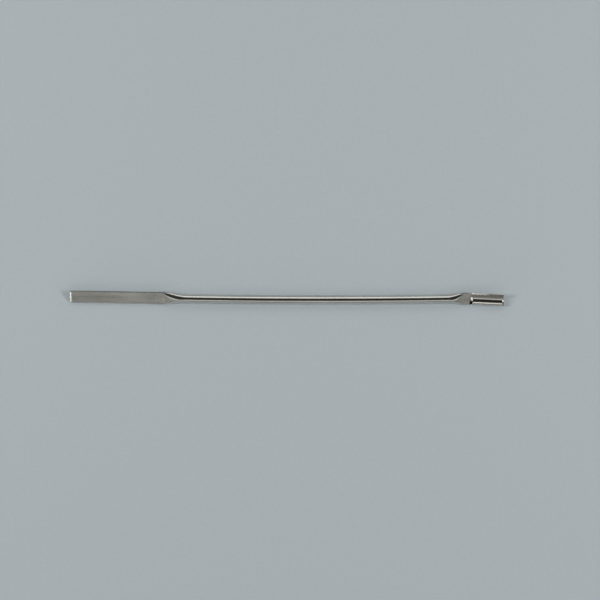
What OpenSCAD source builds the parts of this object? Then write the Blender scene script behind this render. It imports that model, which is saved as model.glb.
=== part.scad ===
// Double-ended lab spatula: one steel rod, flattened to a blade at one end and pressed into a trough
// at the other. It is one piece; the nodes meet at the two ends of the plain rod, so that collision can
// follow the trough's hollow.
// Millimetres, +Z up. It lies as it comes to rest, on the rod and on the blade's near edge, so its flat
// faces lean towards -Y. The blade is at -X and the trough at +X.

/* [Rod] */
// Length from the blade's tip to the trough's lip
overall_l = 150; // [120:1:200]
// Diameter of the round rod
rod_d = 3; // [2.4:0.1:3.4]
// Slight sideways bow of the rod, as the angle between its two ends
rod_bow = 1.9; // [0.4:0.1:4]

/* [Blade] */
// Length of the flat blade
blade_l = 31.9; // [20:0.5:45]
// Width of the blade
blade_w = 4.45; // [4:0.05:7]
// Thickness of the blade
blade_t = 0.8; // [0.5:0.05:1.2]
// Radius of the blade's two corners
blade_corner_r = 0.6; // [0.2:0.1:1.8]
// Length of the bevel ground on both faces of the blade's tip
tip_bevel_l = 0.55; // [0.3:0.05:1.5]
// Thickness left at the blade's tip
tip_t = 0.2; // [0.1:0.05:0.4]

/* [Shoulder] */
// Length over which the rod turns into the blade
shoulder_l = 8.4; // [5:0.1:14]
// Width at the swell where the blade begins
shoulder_w = 4.7; // [4.2:0.05:7.5]

/* [Neck] */
// Length over which the rod turns into the flat neck
neck_l = 5.6; // [3:0.1:10]
// Length of the flat part of the neck
neck_flat_l = 1.8; // [1:0.1:8]
// Width of the flat neck
neck_w = 4.45; // [4:0.05:6]
// Slight sideways bend of the trough end, back against the rod's bow
neck_bend = 1.6; // [0:0.1:3]

/* [Trough] */
// Length of the straight trough
trough_l = 10.3; // [6:0.1:20]
// Radius inside the trough
trough_r = 1.8; // [1.5:0.05:2.6]
// Thickness of the trough's wall and of the neck
wall_t = 0.8; // [0.5:0.05:1]
// Angle that the inside of the trough takes up
trough_arc = 140; // [110:1:165]
// Lean of the rims outwards from square
rim_bevel = 23; // [10:1:40]
// Length over which the flat neck turns into the trough
root_l = 1.8; // [1.5:0.1:5]
// Depth of the trough's floor below the middle of the neck
trough_drop = 0.85; // [0.5:0.05:1.2]
// Tilt of the trough upwards from the rod
trough_lift = 4.5; // [0:0.5:12]
// Length of the bevel inside the trough's lip
lip_l = 0.45; // [0.3:0.05:1.5]
// Depth of the bevel inside the trough's lip
lip_d = 0.25; // [0.1:0.05:0.45]

/* [Hidden] */
$fn = 96;
rod_r = rod_d / 2;
// share of a swell's length that the ramp down to the flat takes, and height of the ramp's top above the rod
ramp_share = 0.92;
crown = 0.1;
// half height that the swells are pressed to where they rest, a little more than the rod's radius
rest_h = rod_r + 0.02;
// lean of the flats at rest: the lower corner of the blade's widest part is then as low as the swells
widest = max(blade_w, shoulder_w);
rest_roll = asin(2 * rest_h / widest) - asin(blade_t / widest);
// sizes of the trough's section, measured from its axis
outer_r = trough_r + wall_t;
bend_r = trough_r + wall_t / 2;
half_arc = trough_arc / 2;
rim_w = sqrt(pow(outer_r, 2) - pow(trough_r * sin(rim_bevel), 2)) - trough_r * cos(rim_bevel);
outer_half_arc = half_arc - asin(rim_w * sin(rim_bevel) / outer_r);
// lengths of the two flattened ends and of the rod between them
blade_end_l = shoulder_l + blade_l;
root_x = neck_l + neck_flat_l;
trough_x = root_x + root_l;
rod_l = overall_l - blade_end_l - trough_x - trough_l;
bow_r = rod_l / rod_bow * 180 / PI;
// height of the rod's axis, which clears the floor under the swells and under the trough
rest_z = max(rest_h, outer_r - (bend_r - trough_drop) * cos(rest_roll));
// place of the rod's middle, with the middle of the part's whole length and width at the origin
rest_x = (blade_end_l - trough_x - trough_l) / 2;
rest_y = bow_r * (cos(rod_bow / 2) - 1) - blade_end_l * sin(rod_bow / 2) / 2;
// the root reaches this far into the neck and the trough, and stays this far under their skin,
// which they overhang by
lap = 0.4;
skin = 0.04;
steel = [0.72, 0.72, 0.7];

// Half outline of a bar that swells smoothly from radius r0 to r1 over length l, and then falls back to r2
module swell(l, r0, r1, r2) {
    curve_r = (l * l + pow(r1 - r0, 2)) / (4 * (r1 - r0));
    fall = sqrt(pow(curve_r, 2) - pow(curve_r - r1 + r2, 2));
    difference() {
        square([r1, l / 2]);
        translate([r0 + curve_r, 0]) circle(curve_r);
    }
    intersection() {
        translate([0, l / 2]) square([r1, l / 2 + fall]);
        translate([r1 - curve_r, l]) circle(curve_r);
    }
}

// Half outline of a strip of length l with rounded corners at its far end, kept on one side of its middle
module strip_end(l, r, corner_r) {
    square([r, l - corner_r]);
    square([r - corner_r, l]);
    intersection() {
        square([2 * r, 2 * l]);
        translate([r - corner_r, l - corner_r]) circle(corner_r);
    }
}

// Turned blank along +X, as the rod is after it has spread and before it is pressed flat
module blank(l, swell_l, swell_r, flat_r, corner_r) {
    rotate([0, 90, 0]) rotate_extrude() {
        swell(swell_l, rod_r, swell_r, flat_r);
        translate([0, swell_l]) strip_end(l - swell_l, flat_r, corner_r);
    }
}

// Press die above the flat, which begins at x; its hollow nose leaves a ramp that rounds over from the
// rod's top
module die(x, l, t, ramp_l, reach) {
    rise = rod_r + crown - t / 2;
    ramp_r = (ramp_l * ramp_l + rise * rise) / (2 * rise);
    rotate([90, 0, 0]) linear_extrude(3 * reach, center = true) translate([x - ramp_l, t / 2]) difference() {
        square([l, reach]);
        translate([0, rise - ramp_r]) circle(ramp_r);
    }
}

// Blank pressed between two dies, and eased at its four corners to lie no lower than the rod at rest
module flattened(l, swell_l, swell_r, flat_r, t, corner_r) {
    difference() {
        blank(l, swell_l, swell_r, flat_r, corner_r);
        for (side = [0, 1]) mirror([0, 0, side]) die(swell_l, 2 * l, t, ramp_share * swell_l, 2 * swell_r);
        for (side = [0, 1], lean = [-rest_roll, rest_roll]) mirror([0, 0, side]) rotate([lean, 0, 0])
            translate([-l, -2 * swell_r, rest_h]) cube([3 * l, 4 * swell_r, 2 * swell_r]);
    }
}

// Wedge that grinds one face of the blade's tip
module tip_wedge() {
    slope = (blade_t - tip_t) / 2 / tip_bevel_l;
    translate([blade_end_l - tip_bevel_l, 0, blade_t / 2])
        rotate([90, 0, 0]) linear_extrude(2 * blade_w, center = true)
            polygon(tip_bevel_l * [[-1, slope], [2, -2 * slope], [2, 2]]);
}

// Blade with its shoulder, along +X from the rod
module blade_end() {
    difference() {
        flattened(blade_end_l, shoulder_l, widest / 2, blade_w / 2, blade_t, blade_corner_r);
        for (side = [0, 1]) mirror([0, 0, side]) tip_wedge();
    }
}

// Section of the trough about its own axis: a ring, opened at the top between two bevelled rims
module trough_section() {
    rim = [trough_r * sin(half_arc), -trough_r * cos(half_arc)];
    foot = 2 * outer_r * [sin(half_arc - rim_bevel), -cos(half_arc - rim_bevel)];
    difference() {
        intersection() {
            circle(outer_r);
            polygon([rim, rim + foot, [-rim.x - foot.x, rim.y + foot.y], [-rim.x, rim.y]]);
        }
        circle(trough_r);
    }
}

// Straight part of the trough with its thinned lip
module channel() {
    translate([trough_x, 0, -trough_drop]) rotate([0, -trough_lift, 0]) translate([0, 0, bend_r])
        difference() {
            translate([-skin, 0, 0]) rotate([90, 0, 90]) linear_extrude(trough_l + skin) trough_section();
            translate([trough_l - 2 * lip_l, 0, 0]) rotate([0, 90, 0])
                cylinder(h = 3 * lip_l, r1 = trough_r - lip_d, r2 = trough_r + 2 * lip_d);
        }
}

// Share of the forming that is done at a part u of the root's length
function formed(u) = u * u * (3 - 2 * u);

// Height of the strip's middle at a part u of the root's length
function root_z(u) = -trough_drop * formed(u) + root_l * tan(trough_lift) * u * u * (u - 1);

// One point of the bent strip: q across its thickness, a along its width, bent to radius r and tilted
function bent(x, z, q, a, r, tilt) =
    let (angle = a / (r - q) * 180 / PI, h = r - (r - q) * cos(angle))
    [x - h * sin(tilt), (r - q) * sin(angle), z + h * cos(tilt)];

// Section of the root, its upper side from +Y to -Y and then its lower side back
function root_ring(u, shift, steps) =
    let (
        s = max(formed(u), 0.001),
        tilt = trough_lift * s,
        x = root_x + root_l * u + shift * cos(tilt),
        z = root_z(u) + shift * sin(tilt),
        r = bend_r / s,
        q = wall_t / 2 - skin,
        edge = sqrt(pow(neck_w / 2, 2) - pow(wall_t / 2, 2)),
        upper = edge + (trough_r * half_arc * PI / 180 - edge) * s - skin,
        lower = edge + (outer_r * outer_half_arc * PI / 180 - edge) * s - skin
    )
    concat(
        [for (i = [0:steps]) bent(x, z, q, upper * (1 - 2 * i / steps), r, tilt)],
        [for (i = [0:steps]) bent(x, z, -q, lower * (2 * i / steps - 1), r, tilt)]
    );

// Root, where the flat strip sinks along its middle and folds up along its sides into the trough
module root() {
    rings = 14;
    steps = 24;
    n = 2 * steps + 2;
    ends = rings + 2;
    points = concat(
        root_ring(0, -lap, steps),
        [for (k = [0:rings]) each root_ring(k / rings, 0, steps)],
        root_ring(1, lap, steps)
    );
    sides = [for (k = [0:ends - 1], i = [0:n - 1]) let (j = (i + 1) % n, a = k * n, b = a + n)
        each [[a + i, b + i, b + j], [a + i, b + j, a + j]]];
    start = [for (i = [0:steps - 1]) let (j = n - 1 - i) each [[i, i + 1, j - 1], [i, j - 1, j]]];
    finish = [for (f = start) [for (v = [2, 1, 0]) f[v] + ends * n]];
    polyhedron(points, concat(sides, start, finish), convexity = 4);
}

// Neck, root and trough, along +X from the rod
module trough_end() {
    flattened(root_x + skin, neck_l, neck_w / 2, neck_w / 2, wall_t, skin);
    root();
    channel();
}

// Holds the rod's middle where the spatula rests
module at_rest() {
    translate([rest_x, rest_y, rest_z]) children();
}

// Holds an end part against the rod's end at +X, bent back about that end's near side and rolled to its rest
module at_rod_end(bend) {
    translate([bow_r * sin(rod_bow / 2), bow_r * (1 - cos(rod_bow / 2)), 0]) rotate([0, 0, rod_bow / 2])
        translate([0, -rod_r, 0]) rotate([0, 0, -bend]) translate([0, rod_r, 0])
            rotate([rest_roll, 0, 0]) children();
}

module blade() {
    color(steel) at_rest() mirror([1, 0, 0]) at_rod_end(0) blade_end();
}

// Round rod, bowed in the plane of the floor with its middle towards -Y
module rod() {
    color(steel) at_rest() translate([0, bow_r, 0]) rotate([0, 0, -90 - rod_bow / 2])
        rotate_extrude(angle = rod_bow, $fn = 24 * 360 / rod_bow)
            translate([bow_r, 0]) circle(rod_r, $fn = 96);
}

module trough() {
    color(steel) at_rest() at_rod_end(neck_bend) trough_end();
}

blade();
rod();
trough();
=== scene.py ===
from math import asin, atan2, cos, pi, radians, sin, sqrt, tan

import bpy
from mathutils import Matrix, Vector


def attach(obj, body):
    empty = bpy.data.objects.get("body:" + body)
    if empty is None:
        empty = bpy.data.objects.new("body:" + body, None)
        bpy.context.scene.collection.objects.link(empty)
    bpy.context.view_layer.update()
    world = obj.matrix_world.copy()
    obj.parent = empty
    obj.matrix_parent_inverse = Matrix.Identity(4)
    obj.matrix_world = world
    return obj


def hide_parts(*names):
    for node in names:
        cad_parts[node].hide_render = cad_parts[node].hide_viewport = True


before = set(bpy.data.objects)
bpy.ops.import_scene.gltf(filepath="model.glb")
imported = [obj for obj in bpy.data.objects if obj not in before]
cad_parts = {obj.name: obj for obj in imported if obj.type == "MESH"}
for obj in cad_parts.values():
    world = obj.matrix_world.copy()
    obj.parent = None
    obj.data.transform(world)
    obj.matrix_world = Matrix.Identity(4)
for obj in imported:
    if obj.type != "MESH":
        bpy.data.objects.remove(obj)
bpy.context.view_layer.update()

# Sizes of the part, in millimetres, as in its source
OVERALL_L = 150
ROD_R = 1.5
ROD_BOW = radians(1.9)
BLADE_L = 31.9
BLADE_R = 2.225
BLADE_T = 0.8
BLADE_CORNER_R = 0.6
TIP_BEVEL_L = 0.55
TIP_T = 0.2
SHOULDER_L = 8.4
SHOULDER_R = 2.35
NECK_L = 5.6
NECK_FLAT_L = 1.8
NECK_R = 2.225
NECK_BEND = radians(1.6)
TROUGH_L = 10.3
TROUGH_R = 1.8
WALL_T = 0.8
TROUGH_HALF_ARC = radians(70)
RIM_BEVEL = radians(23)
ROOT_L = 1.8
TROUGH_DROP = 0.85
TROUGH_LIFT = radians(4.5)
LIP_L = 0.45
LIP_D = 0.25
RAMP_SHARE = 0.92
CROWN = 0.1
REST_H = ROD_R + 0.02

# Values that follow from the sizes
ROLL = asin(REST_H / SHOULDER_R) - asin(BLADE_T / 2 / SHOULDER_R)
OUTER_R = TROUGH_R + WALL_T
BEND_R = TROUGH_R + WALL_T / 2
BLADE_END_L = SHOULDER_L + BLADE_L
ROOT_X = NECK_L + NECK_FLAT_L
TROUGH_X = ROOT_X + ROOT_L
ROD_L = OVERALL_L - BLADE_END_L - TROUGH_X - TROUGH_L
BOW_R = ROD_L / ROD_BOW
REST = Vector((
    (BLADE_END_L - TROUGH_X - TROUGH_L) / 2,
    BOW_R * (cos(ROD_BOW / 2) - 1) - BLADE_END_L * sin(ROD_BOW / 2) / 2,
    max(REST_H, OUTER_R - (BEND_R - TROUGH_DROP) * cos(ROLL)),
))
RIM_W = sqrt(OUTER_R ** 2 - (TROUGH_R * sin(RIM_BEVEL)) ** 2) - TROUGH_R * cos(RIM_BEVEL)
OUTER_HALF_ARC = TROUGH_HALF_ARC - asin(RIM_W * sin(RIM_BEVEL) / OUTER_R)

# Small roundings that the press and the polishing leave on the edges, and at the foot of the ramps
EDGE_R = 0.1
PRESSED_EDGE_R = 0.17
FOOT_SOFT = 0.07
# largest share of a side's height that a rounding takes
EDGE_SHARE = 0.32
# length over which the tip and the lip round off, and share of the thickness that is left at their very end
END_R = 0.06
END_KEEP = 0.5

# Finish of the press
# length at a swell's start over which the press takes hold
PRESS_START = 1.8
# sharpness of the corners on a swell and on a flat, and the shares of a swell's length from which and over
# which it rises
SWELL_SHARP = 16
FLAT_SHARP = 70
SHARP_FROM = 0.6
SHARP_OVER = 0.45
# length of the neck along which the trough end bends back
BEND_L = 3
# the trough is turned back a little about its floor
TROUGH_TURN = radians(4)
# the rims lean out a little less towards the lip, from a place along the trough and over a length
RIM_BY_LIP = radians(21.3)
RIM_EASE_X = 3.8
RIM_EASE_L = 2
# least share of the bending, at which the root still counts as flat
LEAST_BEND = 0.001

# Tone of the surface, for the material: 1 is a lighter edge, 0 a plain face, and -1 a side darkened with
# painted shade
CORNER_TONE = 1
SIDE_TONE = 0.4
# the corners and sides of the flats get painted shade
FLAT_CORNER_SHADE = -0.3
FLAT_SIDE_SHADE = -1
# painted shade in the near corner of the root: place along it and across it, and how far it reaches across
SHADE_ALONG = 0.4
SHADE_ACROSS = 0.54
SHADE_REACH = 0.4

# Points in half a section: across a face, round a corner and down a side
FACE_STEPS = 14
CORNER_STEPS = 5
SIDE_STEPS = 8
# angle above and below the middle at which the side of a round section ends
SIDE_ANGLE = radians(55)

# Distances between sections: at the tip and the lip, on swells, flats, rod and trough, and as a share of
# the root's length
FINE_STEP = 0.03
SWELL_STEP = 0.1
FLAT_STEP = 0.5
ROD_STEP = 1
TROUGH_STEP = 0.3
ROOT_STEP = 0.02
# lengths of the fine stretch at both ends, and of the flat past the shoulder that is stepped as a swell
FINE_L = 1
PAST_SHOULDER_L = 3


def blend(a, b, share):
    return a + (b - a) * share


def formed(u):
    """Smooth rise from 0 to 1."""
    return u * u * (3 - 2 * u)


def bump(value, middle, reach):
    """1 at the middle, falling smoothly to nought at the reach."""
    return formed(max(1 - abs(value - middle) / reach, 0))


def swell_r(x, length, top_r, flat_r):
    """Radius of the bar where it swells from the rod to top_r and falls back to flat_r."""
    curve_r = (length ** 2 + (top_r - ROD_R) ** 2) / (4 * (top_r - ROD_R))
    if x <= length / 2:
        return ROD_R + curve_r - sqrt(curve_r ** 2 - x ** 2)
    crest = top_r - curve_r + sqrt(max(curve_r ** 2 - (x - length) ** 2, 0))
    return crest if x < length else max(crest, flat_r)


def face_height(x, length, thickness):
    """Height of the pressed face above the middle: a ramp that rounds over from the rod's top, then flat."""
    ramp = RAMP_SHARE * length
    rise = ROD_R + CROWN - thickness / 2
    ramp_r = (ramp ** 2 + rise ** 2) / (2 * rise)
    along = max(x - length + ramp, 0)
    drop = ramp_r - sqrt(max(ramp_r ** 2 - along ** 2, 0))
    return thickness / 2 + softened(rise - drop, FOOT_SOFT) if x < length + ramp / 4 else thickness / 2


def softened(height, soft):
    """The height where it is over nought, and nought below, with a small curve between."""
    if height > soft:
        return height
    if height < -soft:
        return 0
    return (height + soft) ** 2 / (4 * soft)


def rounded_end(distance):
    """Share of its thickness that an edge keeps at a distance from its end."""
    d = max(1 - distance / END_R, 0)
    return sqrt(1 - (1 - END_KEEP ** 2) * d * d)


def half_section(top, side, bottom, edge_r=EDGE_R, side_tone=SIDE_TONE, corner_tone=CORNER_TONE):
    """Points from the middle of the top round one side to the middle of the bottom, and their edge tone,
    whose negative values are painted shade.

    top and bottom run from the middle at 0 to the corner at 1, and side from the upper corner to the lower.
    """
    top_len = (top(1) - top(0)).length
    bottom_len = (bottom(1) - bottom(0)).length
    side_len = (side(1) - side(0)).length
    reach = min(edge_r, EDGE_SHARE * side_len)
    cut_top, cut_side, cut_bottom = reach / top_len, reach / side_len, reach / bottom_len
    points = []
    edge_tone_and_shade = []

    def corner(start, middle, end):
        for i in range(1, CORNER_STEPS):
            k = i / CORNER_STEPS
            points.append(blend(blend(start, middle, k), blend(middle, end, k), k))
            edge_tone_and_shade.append(corner_tone)

    for i in range(FACE_STEPS + 1):
        points.append(top((1 - cut_top) * sin(pi / 2 * i / FACE_STEPS)))
        edge_tone_and_shade.append(0)
    corner(points[-1], top(1), side(cut_side))
    for i in range(SIDE_STEPS + 1):
        points.append(side(blend(cut_side, 1 - cut_side, i / SIDE_STEPS)))
        edge_tone_and_shade.append(side_tone)
    corner(points[-1], bottom(1), bottom(1 - cut_bottom))
    for i in range(FACE_STEPS, -1, -1):
        points.append(bottom((1 - cut_bottom) * sin(pi / 2 * i / FACE_STEPS)))
        edge_tone_and_shade.append(0)
    return points, edge_tone_and_shade


def pressed_section(x, bar_r, face_z, sharp):
    """Half section of a round bar of radius bar_r, pressed flat on both sides at height face_z and eased.

    sharp is how closely the corners follow the round, the flats and the eased planes where these meet.
    """
    start = max(1 - x / PRESS_START, 0) ** 3
    flat_h, eased_h = face_z + start, REST_H + start
    flatness = (sharp - SWELL_SHARP) / (FLAT_SHARP - SWELL_SHARP)
    corner = asin(min(face_z / bar_r, sin(SIDE_ANGLE)))
    corner_y, corner_z = bar_r * cos(corner), bar_r * sin(corner)

    def at(angle):
        up = sin(abs(angle))
        tight = bar_r ** -sharp + (up / flat_h) ** sharp + (sin(abs(angle) + ROLL) / eased_h) ** sharp
        tight += max(sin(abs(angle) - ROLL) / eased_h, 0) ** sharp
        r = tight ** (-1 / sharp)
        return Vector((x, r * cos(angle), r * sin(angle)))

    return half_section(
        lambda t: at(atan2(corner_z, corner_y * t)),
        lambda v: at(corner * (1 - 2 * v)),
        lambda t: at(-atan2(corner_z, corner_y * t)),
        PRESSED_EDGE_R,
        blend(SIDE_TONE, FLAT_SIDE_SHADE, flatness),
        blend(CORNER_TONE, FLAT_CORNER_SHADE, flatness),
    )


def round_section(x, r):
    """Half section of the plain rod, with its points placed as in a pressed section."""

    def at(angle):
        return Vector((x, r * cos(angle), r * sin(angle)))

    return half_section(
        lambda t: at(atan2(sin(SIDE_ANGLE), cos(SIDE_ANGLE) * t)),
        lambda v: at(SIDE_ANGLE * (1 - 2 * v)),
        lambda t: at(-atan2(sin(SIDE_ANGLE), cos(SIDE_ANGLE) * t)),
    )


def bent_section(x, z, tilt, upper, lower, bulge):
    """Half section of a strip bent up at its sides.

    upper and lower are (bend radius, radius, half angle), and bulge is how far the edge swells out.
    """

    def at(bend_r, r, angle):
        h = bend_r - r * cos(angle)
        return Vector((x - h * sin(tilt), r * sin(angle), z + h * cos(tilt)))

    rim_top = at(*upper)
    rim_foot = at(*lower)
    out = Vector((0, bulge, 0))
    return half_section(
        lambda t: at(upper[0], upper[1], upper[2] * t),
        lambda v: blend(rim_top, rim_foot, v) + out * (4 * v * (1 - v)),
        lambda t: at(lower[0], lower[1], lower[2] * t),
    )


def sharpness(x, length):
    """Sharpness of the corners at x, which rises towards the end of a swell of this length."""
    return blend(SWELL_SHARP, FLAT_SHARP, formed(min(max(x / length - SHARP_FROM, 0) / SHARP_OVER, 1)))


def blade_section(x):
    """Half section of the shoulder and the blade, x from the rod's end towards the tip."""
    bar_r = swell_r(x, SHOULDER_L, SHOULDER_R, BLADE_R)
    corner_x = x - (BLADE_END_L - BLADE_CORNER_R)
    if corner_x > 0:
        bar_r = BLADE_R - BLADE_CORNER_R + sqrt(max(BLADE_CORNER_R ** 2 - corner_x ** 2, 0))
    to_tip = BLADE_END_L - x
    face_z = face_height(x, SHOULDER_L, BLADE_T)
    if to_tip < TIP_BEVEL_L:
        face_z = blend(TIP_T, BLADE_T, to_tip / TIP_BEVEL_L) / 2 * rounded_end(to_tip)
    return pressed_section(x, bar_r, face_z, sharpness(x, SHOULDER_L))


def neck_section(x):
    """Half section of the neck, x from the rod's end towards the trough."""
    bar_r = swell_r(x, NECK_L, NECK_R, NECK_R)
    return pressed_section(x, bar_r, face_height(x, NECK_L, WALL_T), sharpness(x, NECK_L))


def root_section(u):
    """Half section of the root, where the flat neck folds up into the trough."""
    s = max(formed(u), LEAST_BEND)
    r = BEND_R / s
    half_t = WALL_T / 2
    edge = sqrt(NECK_R ** 2 - half_t ** 2)
    upper = blend(edge, TROUGH_R * TROUGH_HALF_ARC, s)
    lower = blend(edge, OUTER_R * OUTER_HALF_ARC, s)
    z = -TROUGH_DROP * formed(u) + ROOT_L * tan(TROUGH_LIFT) * u * u * (u - 1)
    return bent_section(
        ROOT_X + ROOT_L * u, z, TROUGH_LIFT * s,
        (r, r - half_t, upper / (r - half_t)), (r, r + half_t, lower / (r + half_t)),
        (NECK_R - edge) * (1 - s),
    )


def channel_section(w):
    """Half section of the straight trough, w along its axis, with its thinned lip."""
    to_lip = TROUGH_L - w
    thinned = LIP_D * max(1 - to_lip / LIP_L, 0)
    keep = rounded_end(to_lip)
    middle_r = (TROUGH_R + thinned + OUTER_R) / 2
    inner_r = blend(middle_r, TROUGH_R + thinned, keep)
    outer_r = blend(middle_r, OUTER_R, keep)
    bevel = blend(RIM_BEVEL, RIM_BY_LIP, formed(min(max((w - RIM_EASE_X) / RIM_EASE_L, 0), 1)))

    def rim_angle(r):
        along = sqrt(r ** 2 - (TROUGH_R * sin(bevel)) ** 2) - TROUGH_R * cos(bevel)
        return TROUGH_HALF_ARC - asin(along * sin(bevel) / r)

    return bent_section(
        TROUGH_X + w * cos(TROUGH_LIFT), -TROUGH_DROP + w * sin(TROUGH_LIFT), TROUGH_LIFT,
        (BEND_R, inner_r, rim_angle(inner_r)), (BEND_R, outer_r, rim_angle(outer_r)), 0,
    )


def stations(start, stop, step):
    """Even places from start to stop, about a step apart."""
    count = max(round((stop - start) / step), 1)
    return [blend(start, stop, i / count) for i in range(count + 1)]


def whole_ring(half, place):
    """Closed ring in metres from half a section, with the other half its mirror image."""
    mirrored = [Vector((p.x, -p.y, p.z)) for p in half[-2:0:-1]]
    return [place @ p / 1000 for p in half + mirrored]


def build_bar():
    """Every ring from the blade's tip to the trough's lip, with each point's edge tone and its painted shade
    in the root's hollow and near corner.
    """
    end = (
        Matrix.Translation((BOW_R * sin(ROD_BOW / 2), BOW_R * (1 - cos(ROD_BOW / 2)), 0))
        @ Matrix.Rotation(ROD_BOW / 2, 4, "Z")
    )
    rolled = Matrix.Rotation(ROLL, 4, "X")
    left = Matrix.Translation(REST) @ Matrix.Scale(-1, 4, (1, 0, 0)) @ end @ rolled
    rings = []

    def right(x):
        """Place of the section at x of the trough end, which bends back a little at the neck."""
        u = min(x / BEND_L, 1)
        aside = -NECK_BEND * (BEND_L * (u ** 3 - u ** 4 / 2) + max(x - BEND_L, 0))
        bend = Matrix.Rotation(-NECK_BEND * formed(u), 4, "Z")
        along = Matrix.Translation((x, aside, 0)) @ bend @ Matrix.Translation((-x, 0, 0))
        return Matrix.Translation(REST) @ end @ along @ rolled

    def add(section, place, u=0):
        half, edge_tone_and_shade = section
        across = [min(i / FACE_STEPS, 1) for i in range(len(half))]
        # painted shade along the middle of the root's hollow, darkest halfway along it
        hollow_shade = [sin(pi * u) * (1 - t) for t in across]
        # painted shade in the near corner of the root, on the mirrored near half only
        shade_here = bump(u, SHADE_ALONG, SHADE_ALONG)
        corner_shade = [shade_here * bump(t, SHADE_ACROSS, SHADE_REACH) for t in across]
        unshaded = [0] * len(half)
        rings.append((
            whole_ring(half, place),
            edge_tone_and_shade + edge_tone_and_shade[-2:0:-1],
            hollow_shade + hollow_shade[-2:0:-1],
            unshaded + corner_shade[-2:0:-1],
        ))

    tip_x = BLADE_END_L - FINE_L
    flat_x = SHOULDER_L + PAST_SHOULDER_L
    for x in reversed(stations(tip_x, BLADE_END_L, FINE_STEP)):
        add(blade_section(x), left)
    for x in reversed(stations(flat_x, tip_x, FLAT_STEP)[:-1]):
        add(blade_section(x), left)
    for x in reversed(stations(0, flat_x, SWELL_STEP)[1:-1]):
        add(blade_section(x), left)
    for a in stations(-ROD_BOW / 2, ROD_BOW / 2, ROD_STEP / BOW_R):
        place = (
            Matrix.Translation(REST + Vector((BOW_R * sin(a), BOW_R * (1 - cos(a)), 0)))
            @ Matrix.Rotation(a, 4, "Z") @ rolled
        )
        add(round_section(0, ROD_R), place)
    for x in stations(0, ROOT_X, SWELL_STEP)[1:-1]:
        add(neck_section(x), right(x))
    floor_line = Matrix.Translation((0, 0, -TROUGH_DROP))
    for u in stations(0, 1, ROOT_STEP)[:-1]:
        turn = floor_line @ Matrix.Rotation(-TROUGH_TURN * formed(u), 4, "X") @ floor_line.inverted()
        add(root_section(u), right(ROOT_X) @ turn, u)
    turned = right(ROOT_X) @ floor_line @ Matrix.Rotation(-TROUGH_TURN, 4, "X") @ floor_line.inverted()
    lip_x = TROUGH_L - FINE_L
    for w in stations(0, lip_x, TROUGH_STEP):
        add(channel_section(w), turned)
    for w in stations(lip_x, TROUGH_L, FINE_STEP)[1:]:
        add(channel_section(w), turned)
    return rings


def bar_mesh(name):
    """Closed mesh over all the rings, with their edge tone and painted shades as attributes."""
    rings = build_bar()
    n = len(rings[0][0])
    half = n // 2
    points = [p for ring in rings for p in ring[0]]
    faces = []
    for k in range(len(rings) - 1):
        a, b = k * n, (k + 1) * n
        for i in range(n):
            j = (i + 1) % n
            faces.append((a + i, a + j, b + j, b + i))
    first = []
    for i in range(FACE_STEPS):
        low = half - i
        first.append((i + 1, i, low, low - 1))
        first.append((n - low + 1 if low < half else half + 1, low, (n - i) % n, n - i - 1))
    edge = list(range(FACE_STEPS, half - FACE_STEPS + 1))
    first.append(tuple(reversed(edge)))
    first.append(tuple((n - i) % n for i in edge))
    base = (len(rings) - 1) * n
    last = [tuple(base + i for i in reversed(f)) for f in first]
    mesh = bpy.data.meshes.new(name)
    mesh.from_pydata(points, [], faces + first + last)
    for label, index in (("edge_tone_and_shade", 1), ("hollow_shade", 2), ("corner_shade", 3)):
        layer = mesh.attributes.new(label, "FLOAT", "POINT")
        layer.data.foreach_set("value", [v for ring in rings for v in ring[index]])
    mesh.validate()
    mesh.update()
    mesh.shade_smooth()
    return mesh


# Material helpers
def node(tree, kind, inputs=None, **settings):
    made = tree.nodes.new(kind)
    for key, value in settings.items():
        setattr(made, key, value)
    for key, value in (inputs or {}).items():
        if isinstance(value, bpy.types.NodeSocket):
            tree.links.new(value, made.inputs[key])
        else:
            made.inputs[key].default_value = value
    return made


def ranged(tree, value, low, high, to_low, to_high):
    keys = {"Value": value, "From Min": low, "From Max": high, "To Min": to_low, "To Max": to_high}
    return node(tree, "ShaderNodeMapRange", keys).outputs["Result"]


def combined(tree, operation, a, b):
    return node(tree, "ShaderNodeMath", {0: a, 1: b}, operation=operation).outputs[0]


def mixed(tree, share, a, b):
    made = node(tree, "ShaderNodeMix", {0: share}, data_type="RGBA")
    for socket, value in ((made.inputs[6], a), (made.inputs[7], b)):
        if isinstance(value, bpy.types.NodeSocket):
            tree.links.new(value, socket)
        else:
            socket.default_value = value
    return made.outputs[2]


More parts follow.
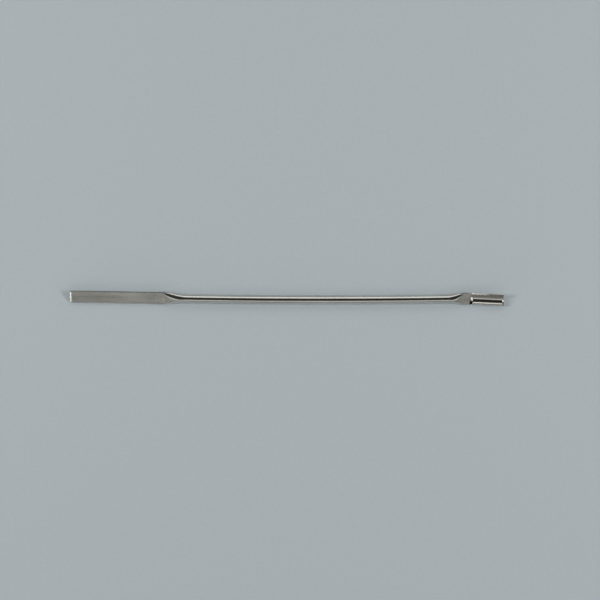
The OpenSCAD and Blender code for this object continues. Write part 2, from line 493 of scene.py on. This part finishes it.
def steel_material():
    """Polished steel, drawn along its length, with fine scratches, a thin film, lighter edges, and painted
    shade on the pressed sides and in the root's hollow and near corner.
    """
    material = bpy.data.materials.new("steel")
    material.use_nodes = True
    tree = material.node_tree
    shader = tree.nodes["Principled BSDF"]
    place = node(tree, "ShaderNodeTexCoord").outputs["Object"]

    def noise(scale, turn, **inputs):
        mapped = node(tree, "ShaderNodeMapping", {"Vector": place, "Scale": scale, "Rotation": (0, 0, turn)})
        keys = {"Vector": mapped.outputs["Vector"], "Scale": 1.0, **inputs}
        return node(tree, "ShaderNodeTexNoise", keys).outputs["Fac"]

    drawn = noise((45, 3200, 3200), 0, Detail=4.0, Roughness=0.62)
    fine = noise((260, 11000, 11000), 0, Detail=2.0, Roughness=0.5)
    film = noise((70, 260, 260), 0, Detail=3.0, Roughness=0.55)
    grind = noise((5200, 220, 220), 0.12, Detail=3.0, Roughness=0.6)
    scratch = ranged(tree, noise((900, 14000, 2000), 0.5, Detail=2.0, Roughness=0.5), 0.66, 0.74, 0, 1)
    edge_tone_and_shade = node(tree, "ShaderNodeAttribute", attribute_name="edge_tone_and_shade").outputs["Fac"]
    hollow_shade = node(tree, "ShaderNodeAttribute", attribute_name="hollow_shade").outputs["Fac"]
    corner_shade = node(tree, "ShaderNodeAttribute", attribute_name="corner_shade").outputs["Fac"]

    tone = mixed(tree, ranged(tree, film, 0.35, 0.68, 0, 1), (0.545, 0.535, 0.5, 1), (0.66, 0.655, 0.62, 1))
    tone = mixed(tree, ranged(tree, drawn, 0.3, 0.7, 0, 0.35), tone, (0.72, 0.71, 0.68, 1))
    # painted shade in the root's hollow
    tone = mixed(tree, ranged(tree, hollow_shade, 0, 1, 0, 0.3), tone, (0.34, 0.33, 0.31, 1))
    # painted shade: the pressed sides and the corners of the flats darkened towards near black
    tone = mixed(tree, ranged(tree, edge_tone_and_shade, -1, 0, 0.85, 0), tone, (0.13, 0.135, 0.135, 1))
    # corners and swell sides made lighter
    tone = mixed(tree, ranged(tree, edge_tone_and_shade, 0, 1, 0, 0.5), tone, (0.8, 0.8, 0.78, 1))
    # painted shade: near black in the near corner of the root
    tone = mixed(tree, ranged(tree, corner_shade, 0, 0.25, 0, 0.96), tone, (0.02, 0.021, 0.02, 1))
    tree.links.new(tone, shader.inputs["Base Color"])

    rough = ranged(tree, film, 0.3, 0.7, 0.13, 0.2)
    rough = combined(tree, "ADD", rough, ranged(tree, drawn, 0.3, 0.7, -0.02, 0.05))
    rough = combined(tree, "ADD", rough, combined(tree, "MULTIPLY", scratch, 0.08))
    tree.links.new(rough, shader.inputs["Roughness"])

    height = combined(tree, "ADD", drawn, combined(tree, "MULTIPLY", fine, 0.15))
    height = combined(tree, "ADD", height, combined(tree, "MULTIPLY", grind, 0.25))
    height = combined(tree, "SUBTRACT", height, combined(tree, "MULTIPLY", scratch, 0.04))
    relief = node(tree, "ShaderNodeBump", {"Height": height, "Strength": 0.07, "Distance": 0.00002})
    tree.links.new(relief.outputs["Normal"], shader.inputs["Normal"])
    shader.inputs["Metallic"].default_value = 1.0
    return material


def floor_material():
    """Pale matt paper with a fine grain."""
    material = bpy.data.materials.new("floor")
    material.use_nodes = True
    tree = material.node_tree
    shader = tree.nodes["Principled BSDF"]
    place = node(tree, "ShaderNodeTexCoord").outputs["Object"]
    grain = node(tree, "ShaderNodeTexNoise", {"Vector": place, "Scale": 900.0, "Detail": 3.0}).outputs["Fac"]
    tone = mixed(tree, ranged(tree, grain, 0.3, 0.7, 0, 1), (0.5, 0.56, 0.59, 1), (0.525, 0.58, 0.61, 1))
    tree.links.new(tone, shader.inputs["Base Color"])
    shader.inputs["Roughness"].default_value = 0.9
    shader.inputs["Specular IOR Level"].default_value = 0.15
    return material


# The spatula
bar = bpy.data.objects.new("spatula", bar_mesh("spatula"))
bar.data.materials.append(steel_material())
bpy.context.scene.collection.objects.link(bar)
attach(bar, "root")
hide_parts("blade", "rod", "trough")

# Floor, a hair below the part
FLOOR_HALF = 4
FLOOR_Z = -0.00002
floor_mesh = bpy.data.meshes.new("floor")
floor_mesh.from_pydata(
    [(x, y, FLOOR_Z) for x, y in ((-1, -1), (1, -1), (1, 1), (-1, 1))], [], [(0, 1, 2, 3)]
)
floor_mesh.transform(Matrix.Diagonal((FLOOR_HALF, FLOOR_HALF, 1, 1)))
floor = bpy.data.objects.new("floor", floor_mesh)
floor.data.materials.append(floor_material())
bpy.context.scene.collection.objects.link(floor)


# Light
def panel(name, azimuth, elevation, distance, size, radiance, color=(1, 1, 1), mirrored=True):
    """Soft panel that faces the object: azimuth 0 is +X and 90 is +Y; radiance is how bright it looks.

    One that isn't mirrored lights the floor and casts shadows, and the steel doesn't show it.
    """
    light = bpy.data.lights.new(name, "AREA")
    light.shape = "RECTANGLE"
    light.size, light.size_y = size
    light.energy = radiance * pi * size[0] * size[1]
    light.color = color
    lamp = bpy.data.objects.new(name, light)
    a, e = radians(azimuth), radians(elevation)
    out = Vector((cos(a) * cos(e), sin(a) * cos(e), sin(e)))
    lamp.location = distance * out
    lamp.rotation_euler = out.to_track_quat("Z", "Y").to_euler()
    lamp.visible_glossy = mirrored
    bpy.context.scene.collection.objects.link(lamp)


panel("lamp_left", 176, 41, 0.9, (0.26, 0.2), 14, mirrored=False)
panel("lamp_right", 4, 41, 0.9, (0.26, 0.2), 14, mirrored=False)
panel("glint_left", 176, 41, 0.8, (0.24, 0.2), 4)
panel("glint_right", 344, 29, 0.8, (0.24, 0.16), 3.8)
panel("fill_left", 225, 9, 1.0, (0.4, 0.12), 3.5)
panel("fill_right", 342, 34, 1.0, (0.5, 0.28), 1.0)
panel("window_back", 90, 41, 0.9, (1.2, 0.5), 0.95, (1, 0.995, 0.97))
panel("wall_front", 270, 42.5, 0.9, (1.2, 0.34), 0.64, (1, 0.98, 0.92))

# Room around, dark overhead and darker still past both ends of the bar
world = bpy.data.worlds.new("room")
bpy.context.scene.world = world
world.use_nodes = True
room = world.node_tree
way = node(room, "ShaderNodeSeparateXYZ", {0: node(room, "ShaderNodeTexCoord").outputs["Generated"]}).outputs
shade = node(room, "ShaderNodeValToRGB", {"Fac": way["Z"]})
ramp = shade.color_ramp
ramp.elements[0].position = 0.1
ramp.elements[0].color = (0.34, 0.35, 0.34, 1)
ramp.elements[1].position = 0.96
ramp.elements[1].color = (0.03, 0.03, 0.03, 1)
along = node(room, "ShaderNodeMath", {0: way["X"]}, operation="ABSOLUTE").outputs[0]
across = node(room, "ShaderNodeMath", {0: way["Y"]}, operation="ABSOLUTE").outputs[0]
past_ends = ranged(room, along, 0.2, 0.5, 0, 1)
near_line = ranged(room, across, 0.25, 0.6, 1, 0)
aside = combined(room, "MULTIPLY", past_ends, near_line)
tone = mixed(room, aside, shade.outputs["Color"], (0.006, 0.006, 0.006, 1))
room.links.new(tone, room.nodes["Background"].inputs[0])

# Camera straight above, framed as in the photograph
CAMERA_H = 0.9
FRAME_W = 0.2073
FRAME_X = 0.00454
FRAME_Y = -0.00084
FRAME_TURN = radians(0.05)
SENSOR_W = 36
camera = bpy.data.objects.new("camera", bpy.data.cameras.new("camera"))
camera.data.sensor_width = SENSOR_W
camera.data.lens = SENSOR_W * CAMERA_H / FRAME_W
camera.data.clip_end = 20
camera.location = (FRAME_X, FRAME_Y, CAMERA_H + REST.z / 1000)
camera.rotation_euler = (0, 0, FRAME_TURN)
bpy.context.scene.collection.objects.link(camera)
bpy.context.scene.camera = camera
bpy.context.scene.view_settings.view_transform = "Standard"
